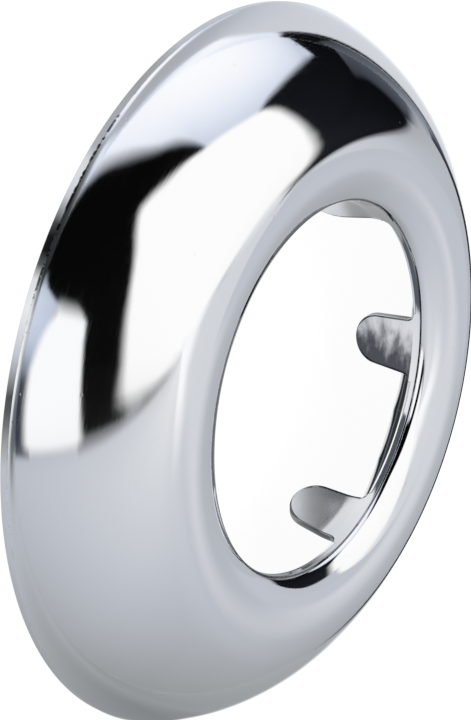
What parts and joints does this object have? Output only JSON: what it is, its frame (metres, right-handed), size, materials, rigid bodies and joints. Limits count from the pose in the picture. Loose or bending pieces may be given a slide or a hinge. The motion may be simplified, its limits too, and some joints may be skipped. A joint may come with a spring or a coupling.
{
  "type": "pipe rosette",
  "caption": "Low domed ring pressed from thin chromed sheet, with a short collar whose spring tongues grip a pipe, hiding the gap where the pipe enters a wall.",
  "frame": {"origin": "centre of the ring in the plane of its rim, where the rim meets the wall", "axes": "+Z along the pipe, from the wall towards the crest of the dome; +X through the middle of a tongue; +Y completes the right-handed frame"},
  "size_m": [0.065, 0.065, 0.0118],
  "materials": {
    "chrome_plate": "polished"
  },
  "bodies": {
    "root": {"rosette": "chrome_plate"}
  },
  "joints": []
}
